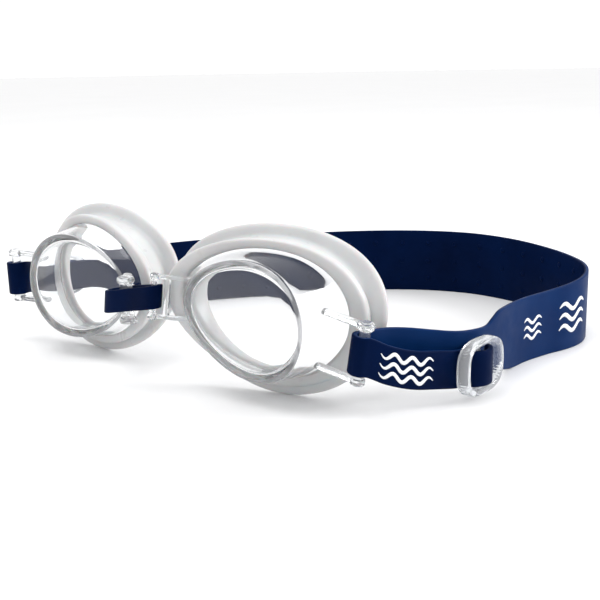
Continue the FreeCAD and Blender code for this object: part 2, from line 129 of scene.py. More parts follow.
def add_colours(tree, factor, dark, light):
    ramp = tree.nodes.new("ShaderNodeValToRGB")
    ramp.color_ramp.elements[0].position = 0.3
    ramp.color_ramp.elements[0].color = (*dark, 1)
    ramp.color_ramp.elements[1].position = 0.7
    ramp.color_ramp.elements[1].color = (*light, 1)
    tree.links.new(factor, ramp.inputs["Fac"])
    return ramp.outputs["Color"]


def add_bump(tree, shader, factor, strength, height):
    bump = tree.nodes.new("ShaderNodeBump")
    bump.inputs["Strength"].default_value = strength
    bump.inputs["Distance"].default_value = height * MM
    tree.links.new(factor, bump.inputs["Height"])
    tree.links.new(bump.outputs["Normal"], shader.inputs["Normal"])


def surface(name, dark, light, rough, patch_scale, grain_scale, grain_strength, grain_height, **sockets):
    """A material whose colour drifts in patches, whose roughness varies, and which has a fine grain."""
    material, tree, shader = new_material(name, **sockets)
    patches = add_noise(tree, patch_scale)
    tree.links.new(add_colours(tree, patches, dark, light), shader.inputs["Base Color"])
    wear = add_noise(tree, patch_scale * 3.7)
    tree.links.new(add_range(tree, wear, *rough), shader.inputs["Roughness"])
    add_bump(tree, shader, add_noise(tree, grain_scale, 2.0), grain_strength, grain_height)
    return material


clear_plastic = surface(
    "clear_plastic", dark=(0.955, 0.965, 0.97), light=(0.975, 0.98, 0.985), rough=(0.015, 0.05),
    patch_scale=60, grain_scale=250, grain_strength=0.15, grain_height=0.02,
    Transmission_Weight=1.0, IOR=1.46, Specular_IOR_Level=0.2,
)
# Grey, half-clear plastic on the lens's rim: painted shade standing in for the dark refraction at the edge
# of the clear cup.
painted_edge_shade = surface(
    "painted_edge_shade", dark=(0.36, 0.365, 0.38), light=(0.50, 0.505, 0.52), rough=(0.06, 0.14),
    patch_scale=120, grain_scale=400, grain_strength=0.2, grain_height=0.03,
    Transmission_Weight=0.6, IOR=1.46,
)
lug_plastic = surface(
    "lug_plastic", dark=(0.93, 0.945, 0.955), light=(0.965, 0.97, 0.975), rough=(0.05, 0.12),
    patch_scale=90, grain_scale=500, grain_strength=0.25, grain_height=0.04,
    Transmission_Weight=0.9, IOR=1.46,
)
adjuster_plastic = surface(
    "adjuster_plastic", dark=(0.86, 0.89, 0.93), light=(0.94, 0.955, 0.97), rough=(0.06, 0.14),
    patch_scale=120, grain_scale=600, grain_strength=0.25, grain_height=0.04,
    Transmission_Weight=0.85, IOR=1.46,
)
clear_silicone = surface(
    "clear_silicone", dark=(0.54, 0.545, 0.55), light=(0.61, 0.615, 0.62), rough=(0.26, 0.38),
    patch_scale=70, grain_scale=900, grain_strength=0.08, grain_height=0.02,
    IOR=1.41, Subsurface_Weight=0.25, Subsurface_Scale=0.002,
)
blue_silicone = surface(
    "blue_silicone", dark=(0.001, 0.015, 0.072), light=(0.002, 0.022, 0.094), rough=(0.36, 0.50),
    patch_scale=55, grain_scale=1500, grain_strength=0.22, grain_height=0.04,
    IOR=1.41, Specular_IOR_Level=0.06,
)
# A darker copy of the navy silicone: painted shade, used on the head strap's inner face and edges, the nose
# loop, the woven ends and the grips.
shaded_silicone = surface(
    "shaded_silicone", dark=(0.0003, 0.004, 0.024), light=(0.0006, 0.0068, 0.038), rough=(0.38, 0.52),
    patch_scale=55, grain_scale=1500, grain_strength=0.22, grain_height=0.04,
    IOR=1.41, Specular_IOR_Level=0.03,
)
white_print = surface(
    "white_print", dark=(0.78, 0.80, 0.82), light=(0.86, 0.87, 0.88), rough=(0.45, 0.6),
    patch_scale=200, grain_scale=1800, grain_strength=0.3, grain_height=0.02,
)
floor_white = surface(
    "floor_white", dark=(0.90, 0.90, 0.905), light=(0.92, 0.92, 0.925), rough=(0.38, 0.44),
    patch_scale=6, grain_scale=40, grain_strength=0.005, grain_height=0.01,
)


# ---------------------------------------------------------------- mesh helpers


def make_piece(name, vertices, faces, body, materials):
    mesh = bpy.data.meshes.new(name)
    mesh.from_pydata([tuple(vertex) for vertex in vertices], [], faces)
    shape = bmesh.new()
    shape.from_mesh(mesh)
    bmesh.ops.recalc_face_normals(shape, faces=shape.faces)
    for face in shape.faces:
        face.smooth = True
    shape.to_mesh(mesh)
    shape.free()
    for material in materials:
        mesh.materials.append(material)
    piece = bpy.data.objects.new(name, mesh)
    bpy.context.scene.collection.objects.link(piece)
    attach(piece, body)
    return piece


def loft(rings, closed=False, capped=False):
    """Vertices and faces through rings of equally many points, each ring closed."""
    count = len(rings[0])
    vertices = [point for ring in rings for point in ring]
    faces = []
    for row in range(len(rings) if closed else len(rings) - 1):
        here = row * count
        there = (row + 1) % len(rings) * count
        for step in range(count):
            after = (step + 1) % count
            faces.append((here + step, here + after, there + after, there + step))
    if capped:
        faces.append(tuple(range(count)))
        faces.append(tuple(range(len(vertices) - count, len(vertices))))
    return vertices, faces


def soften(piece, levels):
    rounded = piece.modifiers.new("rounded", "SUBSURF")
    rounded.levels = levels
    rounded.render_levels = levels


# ---------------------------------------------------------------- outlines of the cups and gaskets

# A plane is its depth behind the lens, its slope along U and its lean along W.
LENS_PLANE = (0.0, 0.0, 0.0)
SEAT_PLANE = (9.8, 0.296, 0.0)
FLANGE_PLANE = (15.0, 0.179, 0.161)
# An egg's shape is how much taller it grows towards the temple, and how far both its ends bend upwards.
LENS_EGG = (0.17, 0.0)
SEAT_EGG = (0.14, 0.05)
FLANGE_EGG = (0.11, 0.1)
# Half widths and half heights of the cup's lens and of its wall at the back.
LENS_HALF_SIZE = (20.3, 16.0)
WALL_HALF_SIZE = (23.4, 17.8)


def egg(tag, half_width, half_height, shape, plane, behind):
    """An egg-shaped outline, taller at the temple, in a plane that slopes with U and leans with W."""
    taper, bend = shape
    depth, slope, lean = plane
    ring = []
    for step in range(AROUND):
        angle = 2 * math.pi * step / AROUND
        out = math.cos(angle)
        u = half_width * out
        w = half_height * (math.sin(angle) * (1 + taper * out) + bend * out * out)
        ring.append(in_cup(tag, u, depth + slope * u + lean * w + behind, w))
    return ring


def lens_ring(tag, inset, behind):
    half_width, half_height = LENS_HALF_SIZE
    return egg(tag, half_width - inset, half_height - inset, LENS_EGG, LENS_PLANE, behind)


def wall_ring(tag, inset, behind):
    half_width, half_height = WALL_HALF_SIZE
    return egg(tag, half_width - inset, half_height - inset, SEAT_EGG, SEAT_PLANE, behind)


def seat_ring(tag, half_width, half_height, behind):
    return egg(tag, half_width, half_height, SEAT_EGG, SEAT_PLANE, behind)


def flange_ring(tag, half_width, half_height, behind):
    return egg(tag, half_width, half_height, FLANGE_EGG, FLANGE_PLANE, behind)


def between(one, other, share):
    return [a.lerp(b, share) for a, b in zip(one, other)]


# The rows of the cup's shell that get the grey painted edge shade.
PAINTED_EDGE_SHADE_ROWS = (2, 3)


def make_cup(tag):
    """Lens, slanted wall and rear lip in one shell, with a darker grey edge, painted shade of the
    refraction, where the lens meets the wall.
    """
    front = lens_ring(tag, 0.0, 0.9)
    back = wall_ring(tag, 0.0, 2.0)
    inner_front = lens_ring(tag, 1.9, 2.6)
    inner_back = wall_ring(tag, 1.6, 2.0)
    rings = [
        lens_ring(tag, 10.0, 0.0),
        lens_ring(tag, 1.7, 0.0),
        lens_ring(tag, 1.3, 0.02),
        lens_ring(tag, 0.5, 0.18),
        lens_ring(tag, 0.1, 0.55),
        front,
        between(front, back, 0.2),
        between(front, back, 0.5),
        between(front, back, 0.8),
        wall_ring(tag, 0.1, 0.8),
        seat_ring(tag, 25.1, 18.6, 0.9),
        seat_ring(tag, 25.1, 18.6, 1.9),
        back,
        inner_back,
        between(inner_back, inner_front, 0.3),
        between(inner_back, inner_front, 0.7),
        inner_front,
        lens_ring(tag, 2.3, 2.0),
        lens_ring(tag, 3.0, 1.8),
        lens_ring(tag, 10.0, 1.8),
    ]
    vertices, faces = loft(rings, capped=True)
    materials = [clear_plastic, painted_edge_shade]
    cup = make_piece(f"cup_{tag}", vertices, faces, f"{tag}_cup", materials)
    for polygon in cup.data.polygons:
        if polygon.index // AROUND in PAINTED_EDGE_SHADE_ROWS:
            polygon.material_index = 1
    soften(cup, 1)
    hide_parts(f"lens_cup_{tag}")


def make_gasket(tag):
    """A soft ring with a step round the cup's lip, a groove behind it, and a wide flange for the skin."""
    neck_front = seat_ring(tag, 26.8, 19.4, 3.4)
    neck_back = flange_ring(tag, 26.9, 19.5, -0.5)
    tube_front = wall_ring(tag, 1.5, 2.4)
    tube_back = flange_ring(tag, 21.4, 15.9, 1.8)
    rings = [
        wall_ring(tag, 0.25, 0.25),
        seat_ring(tag, 23.7, 17.7, -0.05),
        seat_ring(tag, 26.9, 19.5, 0.0),
        seat_ring(tag, 27.8, 20.1, 0.25),
        seat_ring(tag, 28.1, 20.3, 0.9),
        seat_ring(tag, 28.1, 20.3, 2.1),
        seat_ring(tag, 27.8, 20.1, 2.7),
        seat_ring(tag, 27.1, 19.6, 2.95),
        neck_front,
        between(neck_front, neck_back, 0.5),
        neck_back,
        flange_ring(tag, 27.6, 20.0, -0.05),
        flange_ring(tag, 29.8, 21.7, 0.05),
        flange_ring(tag, 31.1, 22.6, 0.35),
        flange_ring(tag, 31.55, 22.95, 1.1),
        flange_ring(tag, 31.3, 22.8, 2.0),
        flange_ring(tag, 30.3, 22.1, 2.5),
        flange_ring(tag, 26.5, 19.4, 2.6),
        flange_ring(tag, 22.6, 16.8, 2.5),
        tube_back,
        between(tube_back, tube_front, 0.5),
        tube_front,
        wall_ring(tag, 0.25, 2.2),
    ]
    vertices, faces = loft(rings, closed=True)
    gasket = make_piece(f"seal_{tag}", vertices, faces, f"{tag}_cup", [clear_silicone])
    soften(gasket, 1)
    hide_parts(f"gasket_{tag}")


# ---------------------------------------------------------------- lugs

BAR_SEGMENTS = 20
MELT_VOXEL = 0.24
TEMPLE_RAIL_ROOT = 20.6
TEMPLE_GAP = 13.2
TEMPLE_RAIL_THICKNESS = 1.8
TEMPLE_RAIL_WIDTH = 3.0
TEMPLE_POST_RADIUS = 1.4
NOSE_GAP = 10.4
NOSE_RAIL_THICKNESS = 1.3
LADDER_RAIL_WIDTH = 2.0
LADDER_BAR_RADIUS = 0.9
LADDER_PITCH = 4.2
NOSE_POST_RAIL_WIDTH = 3.0
NOSE_BAR_HALF = 5.8
NOSE_CAP_HEIGHT = 6.0
NOSE_CAP_RADIUS = 2.4


def round_bar(shape, start, end, radius, flatness):
    """A round bar from start to end, pressed flat across to a share of its thickness. 1 leaves it round."""
    run = end - start
    turn = run.to_track_quat("Z", "Y").to_matrix().to_4x4()
    matrix = Matrix.Translation((start + end) / 2) @ turn @ Matrix.Diagonal((1.0, flatness, 1.0, 1.0))
    bmesh.ops.create_cone(
        shape, cap_ends=True, segments=BAR_SEGMENTS, radius1=radius, radius2=radius, depth=run.length,
        matrix=matrix,
    )


def make_lug(name, tag, bars):
    """Bars of start, end, radius and flatness in the cup's frame, melted together like one moulding."""
    side, matrix = CUPS[tag]
    shape = bmesh.new()
    for start, end, radius, flatness in bars:
        first = matrix @ Vector((side * start.x, start.y, start.z))
        last = matrix @ Vector((side * end.x, end.y, end.z))
        round_bar(shape, first, last, radius * MM, flatness)
    mesh = bpy.data.meshes.new(name)
    shape.to_mesh(mesh)
    shape.free()
    mesh.materials.append(lug_plastic)
    lug = bpy.data.objects.new(name, mesh)
    bpy.context.scene.collection.objects.link(lug)
    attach(lug, f"{tag}_cup")
    melt = lug.modifiers.new("melt", "REMESH")
    melt.mode = "VOXEL"
    melt.voxel_size = MELT_VOXEL * MM
    melt.use_smooth_shade = True
    smooth = lug.modifiers.new("smooth", "SMOOTH")
    smooth.factor = 0.5
    smooth.iterations = 5


def up(height):
    return Vector((0, 0, height))


def lug_frame(root, end, gap, thickness, width, radius):
    """A post at end, and a flat rail above and below it that runs to root, with gap between the rails."""
    height = (gap + thickness) / 2
    bars = [(end - up(height), end + up(height), radius, 1.0)]
    for sign in (-1, 1):
        bars.append((root + up(sign * height), end + up(sign * height), width / 2, thickness / width))
    return bars


def standing_bar(middle, half_length, radius):
    """A round bar that stands on both sides of its middle."""
    return (middle - up(half_length), middle + up(half_length), radius, 1.0)


def make_temple_lug(tag):
    """Two rails and the post that the head strap goes round, with a cap at each end and a crown on top."""
    root = Vector((TEMPLE_RAIL_ROOT, TEMPLE_POST.y, TEMPLE_POST.z))
    bars = lug_frame(
        root, TEMPLE_POST, TEMPLE_GAP, TEMPLE_RAIL_THICKNESS, TEMPLE_RAIL_WIDTH, TEMPLE_POST_RADIUS
    )
    for height, cap_radius in ((-7.5, 1.9), (7.5, 2.3)):
        bars.append(standing_bar(TEMPLE_POST + up(height), 0.9, cap_radius))
    crown = TEMPLE_POST + up(8.3)
    bars.append((crown - up(0.6), crown + up(0.5), 1.6, 1.0))
    make_lug(f"temple_lug_{tag}", tag, bars)


def make_nose_ladder():
    """Two rails with an outer and an inner bar, so that the nose strap has two slots to choose from."""
    bars = lug_frame(
        LADDER_ROOT, LADDER_END, NOSE_GAP, NOSE_RAIL_THICKNESS, LADDER_RAIL_WIDTH, LADDER_BAR_RADIUS
    )
    inner = LADDER_END + (LADDER_ROOT - LADDER_END).normalized() * LADDER_PITCH
    bars.append(standing_bar(inner, NOSE_BAR_HALF, LADDER_BAR_RADIUS))
    for height in (-5.85, 5.85):
        bars.append(standing_bar(LADDER_END + up(height), 0.75, 1.4))
    make_lug("nose_ladder_left", "left", bars)


def make_nose_post():
    """Two rails and a flat post of two bars side by side, with a wide cap at each end."""
    bars = lug_frame(NOSE_POST_ROOT, NOSE_POST, NOSE_GAP, NOSE_RAIL_THICKNESS, NOSE_POST_RAIL_WIDTH, 1.0)
    for offset in (-1.1, 1.1):
        bars.append(standing_bar(NOSE_POST + Vector((offset, 0, 0)), NOSE_BAR_HALF, 1.05))
    reach = Vector((NOSE_CAP_RADIUS, 0, 0))
    for sign in (-1, 1):
        cap = NOSE_POST + up(sign * NOSE_CAP_HEIGHT)
        bars.append(standing_bar(cap, 0.9, NOSE_CAP_RADIUS))
        bars.append((cap - reach, cap + reach, 1.5, 0.7))
    make_lug("nose_post_right", "right", bars)


# ---------------------------------------------------------------- straps

STRAP_THICKNESS = 1.3
STRAP_END_WIDTH = 10.5
EDGE_RADIUS = 0.4
POST_CLEARANCE = 0.5


def band_section(thickness, width):
    """A rounded rectangle as (across, up) points."""
    section = []
    for corner, (right, top) in enumerate(((1, 1), (-1, 1), (-1, -1), (1, -1))):
        for step in range(4):
            angle = math.radians(90 * corner + 30 * step)
            section.append((
                right * (thickness / 2 - EDGE_RADIUS) + EDGE_RADIUS * math.cos(angle),
                top * (width / 2 - EDGE_RADIUS) + EDGE_RADIUS * math.sin(angle),
            ))
    return section


def smooth_row(rows, index, share, closed):
    """A row between rows[index] and the next, on a Catmull-Rom curve spaced by the rows' distances."""
    count = len(rows)
    near = []
    for offset in (-1, 0, 1, 2):
        place_in_rows = index + offset
        near.append(rows[place_in_rows % count] if closed else rows[max(0, min(count - 1, place_in_rows))])
    knots = [0.0]
    for one, other in zip(near, near[1:]):
        distance = math.dist(one[:3], other[:3])
        knots.append(knots[-1] + max(math.sqrt(distance), 1e-3))
    at = knots[1] + share * (knots[2] - knots[1])

    def mix(one, other, low, high):
        weight = (at - low) / (high - low)
        return [a + weight * (b - a) for a, b in zip(one, other)]

    first = [mix(near[step], near[step + 1], knots[step], knots[step + 1]) for step in range(3)]
    second = [mix(first[step], first[step + 1], knots[step], knots[step + 2]) for step in range(2)]
    return mix(second[0], second[1], knots[1], knots[2])


class Route:
    """A smooth way through rows of x, y, height, width and lean, with what a strap needs at each sample."""

    def __init__(self, rows, per_row=6, closed=False):
        spans = len(rows) if closed else len(rows) - 1
        samples = [smooth_row(rows, index, step / per_row, closed)
                   for index in range(spans) for step in range(per_row)]
        if not closed:
            samples.append(list(rows[-1]))
        self.points = [place(*sample[:3]) for sample in samples]
        self.widths = [sample[3] for sample in samples]
        self.uprights = [Vector((sample[4], 0, 1)).normalized() for sample in samples]
        self.normals = []
        for index, upright in enumerate(self.uprights):
            before = self.points[index - 1 if closed else max(0, index - 1)]
            after = self.points[(index + 1) % len(samples) if closed else min(len(samples) - 1, index + 1)]
            self.normals.append((after - before).cross(upright).normalized())
        self.lengths = [0.0]
        for one, other in zip(self.points, self.points[1:]):
            self.lengths.append(self.lengths[-1] + (other - one).length / MM)

    def at(self, along, height, lift):
        """The point at a length along the strap and a height from its middle, lifted off its middle face."""
        index = next(i for i, length in enumerate(self.lengths) if length > along) - 1
        share = (along - self.lengths[index]) / (self.lengths[index + 1] - self.lengths[index])
        point = self.points[index].lerp(self.points[index + 1], share)
        normal = self.normals[index].lerp(self.normals[index + 1], share).normalized()
        upright = self.uprights[index].lerp(self.uprights[index + 1], share).normalized()
        return point + normal * (lift * MM) + upright * (height * MM)

    def length_near(self, x, y, first=0.0, last=1e9):
        """The length along the strap at which it is nearest to a place, seen from above."""
        target = place(x, y, 0)
        found = [
            ((point.xy - target.xy).length, length)
            for point, length in zip(self.points, self.lengths) if first <= length <= last
        ]
        return min(found)[1]


def make_band(name, route, thickness, body, materials, closed=False):
    """A strap along a route. The second material, a darker copy of the silicone that paints shade, goes on
    its inner face and rounded edges.
    """
    rings = []
    for point, width, upright, normal in zip(route.points, route.widths, route.uprights, route.normals):
        rings.append([
            point + (normal * across + upright * height) * MM
            for across, height in band_section(thickness, width)
        ])
    vertices, faces = loft(rings, closed=closed, capped=not closed)
    band = make_piece(name, vertices, faces, body, materials)
    corner_points = len(rings[0]) // 4
    for polygon in band.data.polygons:
        # Faces on the inner side take the last material, which on the head strap is the darker copy painted
        # as shade.
        painted_shade_side = corner_points <= polygon.index % len(rings[0]) < 3 * corner_points - 1
        polygon.material_index = len(materials) - 1 if painted_shade_side else 0
    return band


def turn_rows(tag, height, lean, angles):
    """Rows round a cup's temple post. Angles run from the temple side towards the front."""
    side = CUPS[tag][0]
    radius = TEMPLE_POST_RADIUS + POST_CLEARANCE + STRAP_THICKNESS / 2
    centre = (in_cup(tag, TEMPLE_POST.x, TEMPLE_POST.y, height) - lens_middle) / MM
    across = Vector((1, 0, -lean)).normalized()
    rows = []
    for angle in angles:
        offset = across * (side * radius * math.cos(math.radians(angle)))
        point = centre + offset - Vector((0, radius * math.sin(math.radians(angle)), 0))
        rows.append((*point, STRAP_END_WIDTH, lean))
    return rows


# Rows of the head strap, from its left end round to its right end: x, y, height of the middle, width, lean.
LEFT_FRONT_LEG = [
    (78.9, 46.5, 9.2, STRAP_END_WIDTH, 0),
    (78.9, 41.5, 9.2, STRAP_END_WIDTH, 0),
    (78.6, 36.5, 9.5, STRAP_END_WIDTH, 0),
    (77.0, 30.0, 10.6, STRAP_END_WIDTH, 0.02),
    (74.4, 21.5, 12.2, STRAP_END_WIDTH, 0.08),
    (71.7, 14.6, 14.7, STRAP_END_WIDTH, 0.14),
]
LEFT_BACK_LEG = [
    (65.3, 15.5, 17.6, STRAP_END_WIDTH, 0.13),
    (66.3, 22.0, 16.9, STRAP_END_WIDTH, 0.1),
    (68.8, 28.0, 15.9, STRAP_END_WIDTH, 0.06),
    (72.3, 34.0, 14.6, STRAP_END_WIDTH, 0.02),
    (75.6, 40.5, 13.3, STRAP_END_WIDTH, 0),
    (77.2, 47.5, 12.6, STRAP_END_WIDTH, 0),
    (77.2, 54.0, 12.4, STRAP_END_WIDTH, 0),
]
BAND = [
    (76.9, 58.0, 12.3, 13.4, 0),
    (76.3, 62.0, 11.6, 16.8, 0),
    (75.6, 66.5, 10.7, 18.8, 0),
    (74.8, 73.0, 10.1, 19.9, 0),
    (74.7, 81.0, 10.0, 20.0, 0),
    (76.4, 92.0, 10.1, 20.2, 0),
    (78.7, 101.5, 10.5, 21.0, 0),
    (79.0, 109.5, 10.9, 21.8, 0),
    (76.7, 117.5, 11.2, 22.4, 0),
    (71.7, 125.5, 11.4, 22.8, 0),
    (63.5, 133.0, 11.5, 23.0, 0),
    (51.0, 141.0, 11.6, 23.2, 0),
    (33.5, 147.5, 11.8, 23.6, 0),
    (15.0, 149.0, 11.9, 23.8, 0),
    (-3.0, 143.5, 11.9, 23.8, 0),
    (-21.0, 131.0, 11.9, 23.8, 0),
    (-38.0, 112.5, 11.9, 23.8, 0),
    (-51.0, 93.5, 12.0, 23.8, 0),
    (-60.0, 76.0, 12.4, 23.4, 0),
    (-65.5, 62.5, 13.2, 21.8, 0),
    (-69.2, 53.5, 14.2, 19.0, 0),
    (-71.8, 47.5, 15.1, 15.4, 0),
    (-73.7, 42.5, 15.9, 12.0, 0),
]
RIGHT_BACK_LEG = [
    (-75.1, 37.0, 16.4, STRAP_END_WIDTH, 0),
    (-75.7, 31.0, 16.6, STRAP_END_WIDTH, 0),
    (-75.7, 24.0, 16.9, STRAP_END_WIDTH, 0),
    (-75.0, 18.0, 17.9, STRAP_END_WIDTH, 0),
    (-73.0, 12.5, 19.2, STRAP_END_WIDTH, 0),
    (-70.0, 8.3, 20.5, STRAP_END_WIDTH, 0),
]
RIGHT_FRONT_LEG = [
    (-73.3, 7.0, 20.3, STRAP_END_WIDTH, 0),
    (-76.2, 13.5, 18.8, STRAP_END_WIDTH, 0),
    (-77.3, 21.0, 17.2, STRAP_END_WIDTH, 0),
    (-77.3, 31.5, 16.6, STRAP_END_WIDTH, 0),
]


def make_head_strap():
    """One strap: wide behind the head, with a narrow end folded round each temple post."""
    left_turn = turn_rows("left", height=-0.4, lean=0.172, angles=(15, 50, 90, 130, 165))
    right_turn = turn_rows("right", height=-1.1, lean=-0.0155, angles=(215, 180, 140, 100, 60, 20))
    route = Route(
        LEFT_FRONT_LEG + left_turn + LEFT_BACK_LEG + BAND + RIGHT_BACK_LEG + right_turn + RIGHT_FRONT_LEG
    )
    # The strap's inner face gets the darker copy of the navy silicone, painted shade.
    strap = make_band("band", route, STRAP_THICKNESS, "head_strap", [blue_silicone, shaded_silicone])
    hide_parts("head_strap")
    return route


GRIP_PITCH = 10.5
GRIP_ROWS = (-7.0, 0.0, 7.0)
GRIP_RADIUS = 0.95
GRIP_HEIGHT = 0.35
PAST_FRONT_LEG = 60
WIDE_BAND_START = (75.6, 66.5)
WIDE_BAND_END = (-60.0, 76.0)


def make_grips(route):
    """Rows of small domes on the inner face of the wide band."""
    first = route.length_near(*WIDE_BAND_START, PAST_FRONT_LEG)
    last = route.length_near(*WIDE_BAND_END)
    shape = bmesh.new()
    columns = int((last - first) / GRIP_PITCH)
    for column in range(columns):
        along = first + (column + 0.5) * GRIP_PITCH
        for height in GRIP_ROWS:
            root = route.at(along, height, -STRAP_THICKNESS / 2)
            inward = (route.at(along, height, -STRAP_THICKNESS) - root).normalized()
            matrix = Matrix.Translation(root) @ inward.to_track_quat("Z", "Y").to_matrix().to_4x4()
            matrix = matrix @ Matrix.Diagonal((GRIP_RADIUS * MM, GRIP_RADIUS * MM, GRIP_HEIGHT * MM, 1))
            bmesh.ops.create_uvsphere(shape, u_segments=14, v_segments=8, radius=1.0, matrix=matrix)
    mesh = bpy.data.meshes.new("grips")
    for face in shape.faces:
        face.smooth = True
    shape.to_mesh(mesh)
    shape.free()
    # The grips take the darker copy of the navy silicone, painted shade.
    mesh.materials.append(shaded_silicone)
    grips = bpy.data.objects.new("grips", mesh)
    bpy.context.scene.collection.objects.link(grips)
    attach(grips, "head_strap")


PRINT_LIFT = 0.03
BAND_MARK_PLACE = (75.2, 78.0)
LEG_MARK_PLACE = (75.0, 23.0)
FRONT_LEG_END = 40
LEG_MARK_LENGTH = 17


def make_print(name, route, face, strokes, stroke_width):
    """Thin printed strokes, each a list of (along, height) points.

    The face is 1 for the side of the strap that its normals point to, and -1 for the other side.
    """
    vertices = []
    faces = []
    lift = face * (STRAP_THICKNESS / 2 + PRINT_LIFT)
    for stroke in strokes:
        start = len(vertices)
        for index, (along, height) in enumerate(stroke):
            before = stroke[max(0, index - 1)]
            after = stroke[min(len(stroke) - 1, index + 1)]
            run = math.dist(before, after)
            share = math.sin(math.pi * min(1.0, 4 * min(index, len(stroke) - 1 - index) / len(stroke)) / 2)
            half = stroke_width / 2 * (0.25 + 0.75 * share)
            sideways = ((before[1] - after[1]) / run * half, (after[0] - before[0]) / run * half)
            vertices.append(route.at(along + sideways[0], height + sideways[1], lift))
            vertices.append(route.at(along - sideways[0], height - sideways[1], lift))
        for index in range(len(stroke) - 1):
            corner = start + 2 * index
            faces.append((corner, corner + 1, corner + 3, corner + 2))
    mark = make_piece(name, vertices, faces, "head_strap", [white_print])
    thick = mark.modifiers.new("thick", "SOLIDIFY")
    thick.thickness = 2 * PRINT_LIFT * MM
    thick.offset = 0


def wave(start, length, height, swing, waves, steps=40):
    """A wavy stroke along the strap."""
    stroke = []
    for step in range(steps + 1):
        share = step / steps
        stroke.append((start + share * length, height + swing * math.sin(2 * math.pi * waves * share)))
    return stroke


def make_marks(route):
    """Plain wave marks, on the outer face of the band and on the front leg."""
    middle = route.length_near(*BAND_MARK_PLACE, PAST_FRONT_LEG)
    for number, (offset, length) in enumerate(((5.5, 9), (25, 13)), start=1):
        strokes = [
            wave(middle + offset - length / 2, length, height, swing=length * 0.09, waves=1.5)
            for height in (-length * 0.27, 0, length * 0.27)
        ]
        make_print(f"wave_mark_{number}", route, 1, strokes, length * 0.1)
    front = route.length_near(*LEG_MARK_PLACE, 0, FRONT_LEG_END) + 3.5
    strokes = [
        wave(front - LEG_MARK_LENGTH / 2, LEG_MARK_LENGTH, height, swing=0.9, waves=3)
        for height in (-2.6, 0, 2.6)
    ]
    make_print("leg_wave_mark", route, -1, strokes, 1.0)


NOSE_STRAP_THICKNESS = 1.1
NOSE_STRAP_WIDTH = 6.9
NOSE_STRAP_SLOPE = math.tan(math.radians(11.2))
NOSE_STRAP_DROP = 0.2
SLACK_SHIFT = Vector((-1.05, -1.25, 0))
SNUG_RADIUS = 1.85
SLACK_RADIUS = 4.25
REAR_BULGE = 3.1
FRONT_BULGE = 2.9


def make_nose_strap():
    """A closed loop, snug round the ladder's outer bar and slack round the right cup's nose post."""
    bar = (Vector(joints["nose_strap_turn"]["pos_m"]) - lens_middle) / MM
    post = (in_cup("right", *NOSE_POST) - lens_middle) / MM
    slack = post + SLACK_SHIFT
    between_them = (bar.xy + slack.xy) / 2
    lean = joints["nose_strap_turn"]["axis"][0]
    plan = []
    for centre, radius, angles in ((bar, SNUG_RADIUS, (-80, -40, 0, 40, 80)),
                                   (slack, SLACK_RADIUS, (100, 140, 180, 220, 260))):
        for angle in angles:
            direction = Vector((math.cos(math.radians(angle)), math.sin(math.radians(angle))))
            plan.append(centre.xy + direction * radius)
        if centre is bar:
            plan.append(between_them + Vector((0, REAR_BULGE)))
    plan.append(between_them - Vector((0, FRONT_BULGE)))
    rows = []
    for point in plan:
        height = bar.z - NOSE_STRAP_DROP + NOSE_STRAP_SLOPE * (point.x - bar.x)
        rows.append((point.x, point.y, height, NOSE_STRAP_WIDTH, lean * 0.9))
    route = Route(rows, per_row=8, closed=True)
    # The whole loop takes the darker copy of the navy silicone, painted shade.
    strap = make_band("nose_loop", route, NOSE_STRAP_THICKNESS, "nose_strap", [shaded_silicone], closed=True)
    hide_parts("nose_strap")


# ---------------------------------------------------------------- adjusters


def adjuster_frame(tag):
    """The matrix from an adjuster's own frame, in millimetres: X away from the strap, Y along it, Z up."""
    low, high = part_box(f"adjuster_{tag}")
    middle = (low + high) / 2
    if CUPS[tag][0] > 0:
        return Matrix.Translation((low.x, middle.y, middle.z)) @ Matrix.Scale(MM, 4)
    half_turn = Matrix.Rotation(math.pi, 4, "Z")
    return Matrix.Translation((high.x, middle.y, middle.z)) @ half_turn @ Matrix.Scale(MM, 4)


RIB_PITCH = 1.7
RIBBED_FROM = 0.62


def rounded_outline(half_length, half_height, squareness, rib):
    """A rounded oblong as (y, z) points, with ribs of a depth across its two ends."""
    outline = []
    for step in range(2 * AROUND):
        angle = math.pi * step / AROUND
        across, rise = math.cos(angle), math.sin(angle)
        y = half_length * math.copysign(abs(across) ** (2 / squareness), across)
        z = half_height * math.copysign(abs(rise) ** (2 / squareness), rise)
        near_end = max(0.0, abs(y) / half_length - RIBBED_FROM) / (1 - RIBBED_FROM)
        ripple = rib * min(1.0, near_end * 2) * math.cos(2 * math.pi * z / RIB_PITCH)
        outline.append((y + math.copysign(ripple, y), z))
    return outline


# Rows round the ring's section: half length, half height, squareness, rib, x.
RING_PROFILE = [
    (7.0, 5.7, 3.6, 0.0, 0.6),
    (7.0, 5.7, 3.6, 0.0, 2.8),
    (7.5, 6.2, 3.4, 0.0, 3.35),
    (9.6, 7.3, 2.9, 0.0, 3.4),
    (10.05, 7.75, 2.8, 0.2, 2.9),
    (10.05, 7.85, 2.8, 0.2, 0.5),
    (9.6, 7.4, 2.9, 0.0, 0.0),
    (7.5, 6.2, 3.4, 0.0, 0.05),
]
BAR_MIDDLE = 0.65
BAR_HALF_THICKNESS = 0.42
BAR_HALF_WIDTH = 1.35
BAR_STEPS = 24
WOVEN_WIDTH = 9.8
ARCH_FOOT = Vector((0.3, 5.05, 0))
ARCH_RISE = 3.85
ARCH_HEIGHT = ARCH_RISE - ARCH_FOOT.x
ARCH_RADIUS = (ARCH_FOOT.y ** 2 + ARCH_HEIGHT ** 2) / (2 * ARCH_HEIGHT)
ARCH_HALF_ANGLE = math.asin(ARCH_FOOT.y / ARCH_RADIUS)
ARCH_STEPS = 16


